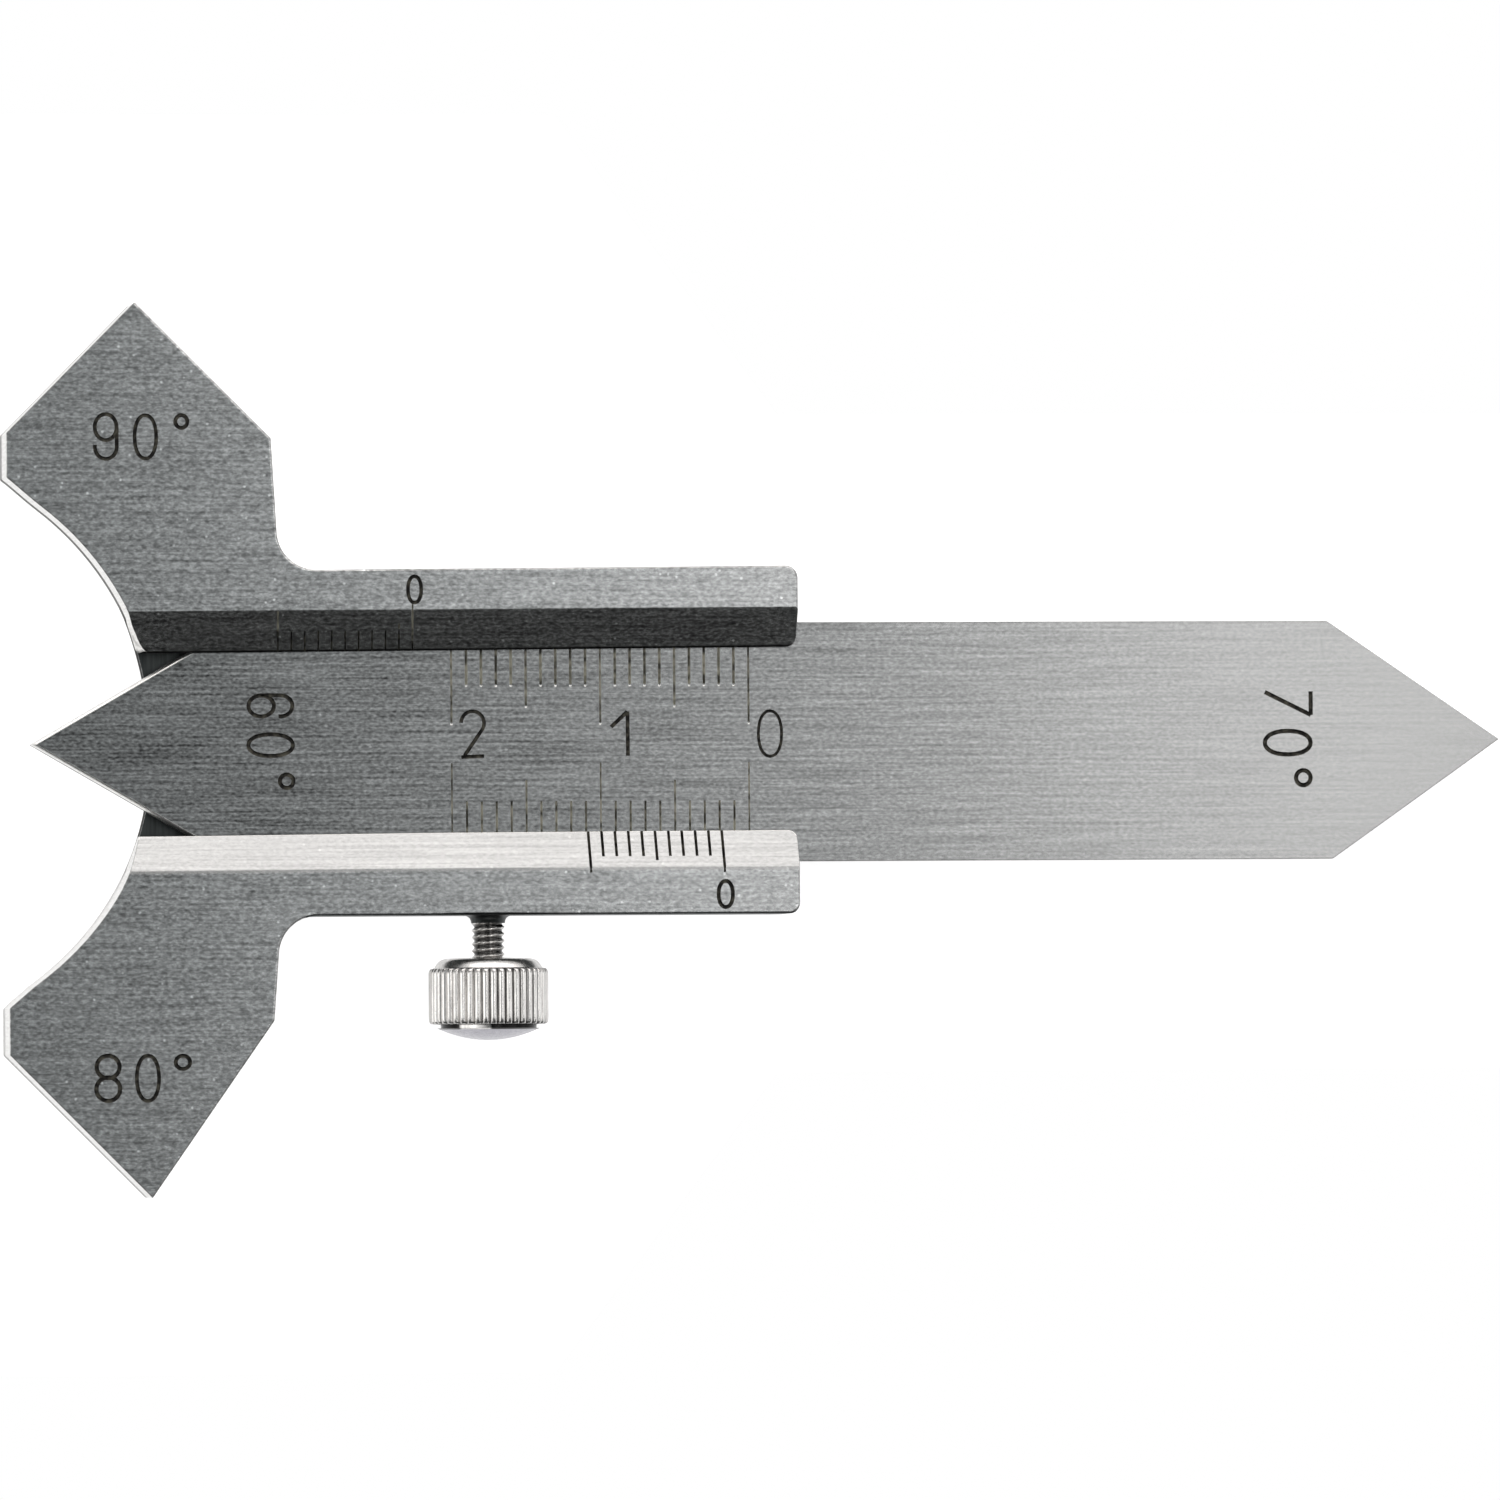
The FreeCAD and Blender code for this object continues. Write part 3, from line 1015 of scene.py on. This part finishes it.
def ground_steel(tree, at, colour, contrasts, streaks, nicked_by=0.5, oiled=False, black_below=None):
    """
    Hardened tool steel, surface ground along X: fine parallel marks that draw the sheen out across them.
    The contrasts are those of the marks at the left and the right end, and streaks is the share of long ones.
    The next value is how much brighter the nicks are painted, as glints. The last two ask for painted shade
    along the lower edge beside the clamp screw, and give the y in mm below which painted shade blackens a
    lip's bevel.
    """
    # Marks of the grinding wheel, 0.2 mm wide and 9 mm long; the real ones are finer than a pixel
    marks = noise(tree, at, (9, 0.2, 0.2), 1.0)
    # The wheel's grit, 0.17 mm wide and 0.3 mm long
    grit = noise(tree, at, (0.3, 0.17, 0.17), 1.0)
    tone = maths(tree, "MULTIPLY_ADD", marks, streaks, grit)
    centred = maths(tree, "SUBTRACT", tone, (1 + streaks) / 2)
    # Nicks of 0.1 to 0.2 mm, a few millimetres apart, painted brighter as glints
    cells = vector_maths(tree, "MULTIPLY", at, (1 / MM, 1 / MM, 1 / MM))
    nicks = add_node(tree, "ShaderNodeTexVoronoi", {"Vector": cells, "Scale": 1.0}, feature="F1")
    speck = ranged(tree, nicks.outputs["Distance"], 0.06, 0.12, nicked_by, 0.0)
    nicked = maths(tree, "ADD", centred, speck)
    # The marks stand out most at the left end
    contrast = ranged(tree, split(tree, at)[0], -22 * MM, 62 * MM, *contrasts)
    lift = maths(tree, "MULTIPLY_ADD", nicked, contrast, 1.0)
    tones = maths(tree, "MAXIMUM", lift, 0.15)
    if black_below is not None:
        # Painted shade blackens the bevel next to the lip's edge; the lip runs a little aslant
        above_lip = vector_maths(tree, "DOT_PRODUCT", at, (-0.0075, 1, 0), result="Value")
        black = ranged(tree, above_lip, black_below * MM, (black_below + 0.1) * MM, 0.05, 1.0)
        tones = maths(tree, "MULTIPLY", tones, black)
    if oiled:
        # Painted shade along the lower edge on both sides of the clamp screw
        shade_long, shade_wide = 5, 0.2
        near_screw = vector_maths(tree, "MULTIPLY_ADD", at, (1 / (shade_long * MM), 1 / (shade_wide * MM), 0),
                                  (0, STEM_EDGE / shade_wide, 0))
        far = vector_maths(tree, "LENGTH", near_screw, result="Value")
        tones = maths(tree, "MULTIPLY", tones, ranged(tree, far, 0.85, 1.1, 0.1, 1.0))
    bump = add_node(tree, "ShaderNodeBump", {"Height": tone, "Strength": 0.15, "Distance": 0.01 * MM})
    tangent = add_node(tree, "ShaderNodeTangent", {}, direction_type="UV_MAP", uv_map=GRAIN_MAP)
    tint = mixed(tree, 1.0, shaded(colour, 1.0), tones, "MULTIPLY")
    drawn_out = {"Anisotropic": 0.7, "Tangent": tangent.outputs[0], "Normal": bump.outputs[0]}
    return principled(tree, tint, 1.0, 0.27, drawn_out)


def milled_edge(tree, at, foot_rows, foot_tones):
    """
    Fine-milled steel walls and edges: brighter and smoother than the ground faces, with faint cutter marks.
    foot_rows are the heights in mm between which the painted shade at the walls' foot starts and stops,
    foot_tones its brightness along Y, 0 to 1 for -25 to 25 mm.
    """
    # Cutter marks stand upright on the walls, 0.12 mm apart
    marks = noise(tree, at, (0.12, 0.12, 2.5), 1.0)
    tint = ramp(tree, marks, (0.3, opaque("E2E1DE")), (0.7, opaque("FBFAF8")))
    # Painted shade at the foot of the walls that meet the weld, for the shadowed gap under the back edge
    x, y, z = split(tree, at)
    along_arc = ranged(tree, y, -25 * MM, 25 * MM, 0.0, 1.0)
    foot_shade = ramp(tree, along_arc, *((at_y, grey(tone)) for at_y, tone in foot_tones))
    at_arc = ranged(tree, x, -21.9 * MM, -21.2 * MM, 1.0, 0.0)
    foot = band(tree, z, foot_rows, at_arc)
    metallic = maths(tree, "SUBTRACT", 1.0, foot)
    roughness = ranged(tree, foot, 0.0, 1.0, 0.3, 0.75)
    return principled(tree, mixed(tree, foot, tint, foot_shade), metallic, roughness, {"Specular IOR Level": 0.15})


def slot_floor(tree, at):
    """The milled slot, left unground; its dark colour is painted shade, for the slot in the shadow of the
    lips.
    """
    # Milling marks across the slot, 0.2 mm apart
    marks = noise(tree, at, (0.2, 3, 3), 2.0)
    tint = ramp(tree, marks, (0.3, opaque("323535")), (0.7, opaque("464949")))
    return principled(tree, tint, 1.0, 0.4)


def enamel(tree, at, spot, dark, light, roughness, specular):
    """Enamel wiped into the engraving: dull, and in spots of this size in mm a little uneven in depth."""
    tint = ramp(tree, noise(tree, at, (spot, spot, spot), 2.0), dark, light)
    return principled(tree, tint, 0.0, roughness, {"IOR": 1.5, "Specular IOR Level": specular})


BLACK_ENAMEL = (
    "wiped_black_enamel", enamel, 0.45, (0.42, opaque("0C0B09")), (0.66, opaque("47453D")), 0.6, 0.2)
# Where the slide rubs it out: patches of black between thin grey film
WORN_ENAMEL = (
    "worn_black_enamel", enamel, 0.7, (0.38, opaque("3A3931")), (0.62, opaque("979587")), 0.55, 0.5)


def nickel_plating(tree, at, colour):
    """Bright nickel over a turned and knurled screw: a smooth mirror, a little cloudy."""
    cloud = noise(tree, at, (0.3, 1.5, 0.3), 3.0)
    tint = ramp(tree, cloud, (0.3, shaded(colour, 0.86)), (0.7, shaded(colour, 1.05)))
    x, y, _ = split(tree, at)
    # Painted shade in the thread's roots and in the knurl's grooves, told by the distance from the axis; the
    # grooves are painted darker on the right side, where less light falls
    across = vector_maths(tree, "MULTIPLY_ADD", at, (1 / MM, 0, 1 / MM), (0, 0, -SCREW_Z))
    reach = vector_maths(tree, "LENGTH", across, result="Value")
    one_side = ranged(tree, x, -1.5 * MM, 0.8 * MM, 0.85, 0.32)
    groove = ranged(tree, reach, 3.8, 3.93, one_side, 1.0)
    root = ranged(tree, reach, 0.95, 1.09, 0.14, 1.0)
    in_knurl = band(tree, y, (-18.92, -18.88, -15.04, -15.0))
    knurl_shade = ranged(tree, in_knurl, 0.0, 1.0, 1.0, groove)
    on_shank = ranged(tree, y, HEAD_START * MM, -14.1 * MM, 0.0, 1.0)
    groove_shade = ranged(tree, on_shank, 0.0, 1.0, knurl_shade, root)
    # Painted shade in the undercut behind the dome, left out along a stretch of it where light falls
    stretch = ranged(tree, x, -4 * MM, 4 * MM, 0.0, 1.0)
    stops = ((0.215, 0.03), (0.24, 1.0), (0.455, 1.0), (0.475, 0.02))
    undercut_shade = ramp(tree, stretch, *((at_x, grey(tone)) for at_x, tone in stops))
    in_undercut = band(tree, y, (-19.1, -19.07, -18.76, -18.72))
    soiled = mixed(tree, 1.0, tint, mixed(tree, in_undercut, groove_shade, undercut_shade), "MULTIPLY")
    # The domed end is a shade darker and cooler
    on_dome = ranged(tree, y, -19.1 * MM, -19.05 * MM, 1.0, 0.0)
    skin = mixed(tree, on_dome, soiled, (0.66, 0.66, 0.74, 1.0), "MULTIPLY")
    return principled(tree, skin, 1.0, ranged(tree, cloud, 0.3, 0.7, 0.3, 0.18))


def turned_brass(tree, at):
    """Brass turned on a lathe: yellow metal with fine rings from the tool."""
    rings = noise(tree, at, (2, 0.06, 2), 2.0)
    tint = ramp(tree, rings, (0.3, opaque("B08D46")), (0.7, opaque("D9BC78")))
    return principled(tree, tint, 1.0, 0.3)


def studio_white(tree, at):
    """Matt white card under and round the object; it stays white to the camera and in reflections."""
    white = (1, 1, 1, 1)
    path = add_node(tree, "ShaderNodeLightPath", {}).outputs
    mirrored = maths(tree, "MAXIMUM", path["Is Glossy Ray"], path["Is Transmission Ray"])
    card = add_node(tree, "ShaderNodeBsdfDiffuse", {"Color": opaque("E8E8E8")}).outputs[0]
    glow = add_node(tree, "ShaderNodeEmission", {"Color": white, "Strength": 1.0}).outputs[0]
    # To the camera the card also takes the object's shadow, out to 12 mm from the heads and the slide
    lit = add_node(tree, "ShaderNodeEmission", {"Color": white, "Strength": 0.85}).outputs[0]
    shadowed = add_node(tree, "ShaderNodeAddShader", {0: card, 1: lit}).outputs[0]
    x, y, _ = split(tree, at)
    margin = ranged(tree, x, 5 * MM, 20 * MM, 42 * MM, 22 * MM)
    near = maths(tree, "LESS_THAN", maths(tree, "ABSOLUTE", y), margin)
    seen = mixed_shader(tree, near, glow, shadowed)
    plain = mixed_shader(tree, path["Is Camera Ray"], card, seen)
    return mixed_shader(tree, mirrored, plain, glow)


# Stage


def floor_mesh():
    """A round white card whose rim rises, as rings of (radius, height)."""
    rings = ((0.0001, 0.0), (0.05, 0.0), (0.3, 0.0), (1.5, 0.0), (2.2, 0.05), (2.6, 0.25), (2.8, 0.6))
    around = 96
    vertices = []
    for radius, height in rings:
        for step in range(around):
            angle = 2 * math.pi * step / around
            vertices.append((radius * math.cos(angle), radius * math.sin(angle), height))
    return mesh_from("white_card", vertices, ring_faces(len(rings), around))


def camera_matrix():
    """Where the photograph was taken from: close to straight above, a little to the left."""
    yaw, pitch, roll = math.radians(8.34), math.radians(-1.42), math.radians(0.43)
    turn = Matrix.Rotation(roll, 3, "Z") @ Matrix.Rotation(pitch, 3, "X") @ Matrix.Rotation(yaw, 3, "Y")
    distance, aim, side, up = 937.0, Vector((17.55, 0, 5)), 0.18, 0.59
    spot = turn.transposed() @ Vector((-side, -up, distance)) + aim
    return Matrix.Translation(spot * MM) @ turn.transposed().to_4x4()


def add_light(name, spot, aim, size, strength, tint=(1.0, 1.0, 1.0)):
    lamp = bpy.data.lights.new(name, "AREA")
    lamp.shape = "RECTANGLE"
    lamp.size, lamp.size_y = size
    lamp.color = tint
    # The watts that give a softbox of this area a plain brightness
    lamp.energy = strength * size[0] * size[1] * math.pi
    made = new_object(name, lamp)
    made.location = spot
    made.rotation_euler = (Vector(aim) - Vector(spot)).to_track_quat("-Z", "Y").to_euler()


# A large softbox behind the gauge, a row overhead that is brightest right of the middle, and cards at both
# sides: (name, place, aim, size, brightness, and a tint where it isn't white)
STUDIO_LIGHTS = (
    ("back_softbox", (0.15, 0.8, 0.5), (0, 0, 0), (1.6, 0.7), 2.36, (1.03, 0.99, 0.965)),
    ("overhead_middle", (0.02, 0.1, 0.6), (0.02, 0.1, 0), (0.08, 0.4), 0.34, (0.92, 1.0, 1.03)),
    ("overhead_near", (0.1, 0.1, 0.6), (0.1, 0.1, 0), (0.08, 0.4), 1.1, (0.97, 1.0, 1.01)),
    ("overhead_bright", (0.18, 0.1, 0.6), (0.18, 0.1, 0), (0.08, 0.4), 4.14, (1.02, 1.0, 0.99)),
    ("overhead_far", (0.28, 0.1, 0.6), (0.28, 0.1, 0), (0.12, 0.4), 0.6, (1.02, 1.0, 0.99)),
    ("right_softbox", (0.62, 0.1, 0.6), (0, 0, 0), (0.5, 0.5), 0.85),
    ("left_softbox", (-0.4, 0.1, 0.65), (0, 0, 0), (0.5, 0.5), 1.0),
    ("left_card", (-0.8, 0, 0.25), (0, 0, 0), (0.4, 1.2), 1.6, (1.0, 0.99, 0.97)),
    ("right_card", (0.9, 0, 0.25), (0, 0, 0), (0.4, 1.2), 0.7),
)


class WELDGAUGE_OT_stage(bpy.types.Operator):
    """Set the white card, the soft studio lights and the camera"""

    bl_idname = "weldgauge.stage"
    bl_label = "Stage"

    def execute(self, context):
        scene = context.scene
        floor = new_object("white_card", floor_mesh())
        dress(floor.data, material("matt_white_card", studio_white))
        # The card is tilted, as the gauge rests on its screw head and one head's tip
        slope_x, slope_y, drop = 0.0177, 0.0441, -0.873 * MM
        floor.matrix_world = (
            Matrix.Translation((0, 0, drop))
            @ Matrix.Rotation(math.atan(slope_y), 4, "X")
            @ Matrix.Rotation(-math.atan(slope_x), 4, "Y")
        )
        world = bpy.data.worlds.new("studio")
        scene.world = world
        world.use_nodes = True
        tree = world.node_tree
        tree.nodes.clear()
        sky = add_node(tree, "ShaderNodeBackground", {"Color": opaque("F4F8F6"), "Strength": 0.065})
        add_node(tree, "ShaderNodeOutputWorld", {0: sky.outputs[0]})
        for light in STUDIO_LIGHTS:
            add_light(*light)
        lens = bpy.data.cameras.new("camera")
        lens.sensor_width = 36.0
        # The lens was fitted in pixels of the 1500 pixel frame
        lens.lens = 14053 / 1500 * lens.sensor_width
        lens.clip_start, lens.clip_end = 0.01, 20.0
        eye = new_object("camera", lens)
        eye.matrix_world = camera_matrix()
        scene.camera = eye
        scene.view_settings.view_transform = "Standard"
        return {"FINISHED"}


class WELDGAUGE_PT_parts(bpy.types.Panel):
    """Sizes and building steps of the weld gauge"""

    bl_idname = "WELDGAUGE_PT_parts"
    bl_label = "Weld Gauge"
    bl_space_type = "VIEW_3D"
    bl_region_type = "UI"
    bl_category = "Weld Gauge"

    def draw(self, context):
        for group_name in SETTING_GROUPS:
            group = getattr(context.scene, group_name)
            column = self.layout.column(align=True)
            for key in group.bl_rna.properties.keys():
                if key not in ("rna_type", "name"):
                    column.prop(group, key)
        for operator in BUILDERS:
            self.layout.operator(operator.bl_idname)


SETTING_GROUPS = {
    "weld_gauge_body": WeldGaugeBody,
    "weld_gauge_slide": WeldGaugeSlide,
    "weld_gauge_screw": WeldGaugeScrew,
}
BUILDERS = (
    WELDGAUGE_OT_body,
    WELDGAUGE_OT_slide,
    WELDGAUGE_OT_clamp_screw,
    WELDGAUGE_OT_thrust_pad,
    WELDGAUGE_OT_stage,
)


def register():
    for made in (*SETTING_GROUPS.values(), *BUILDERS, WELDGAUGE_PT_parts):
        bpy.utils.register_class(made)
    for name, group in SETTING_GROUPS.items():
        setattr(bpy.types.Scene, name, bpy.props.PointerProperty(type=group))


def unregister():
    for name in SETTING_GROUPS:
        delattr(bpy.types.Scene, name)
    for made in (WELDGAUGE_PT_parts, *reversed(BUILDERS), *SETTING_GROUPS.values()):
        bpy.utils.unregister_class(made)


def main():
    register()
    for operator in BUILDERS:
        group, name = operator.bl_idname.split(".")
        getattr(getattr(bpy.ops, group), name)()


if __name__ == "__main__":
    main()
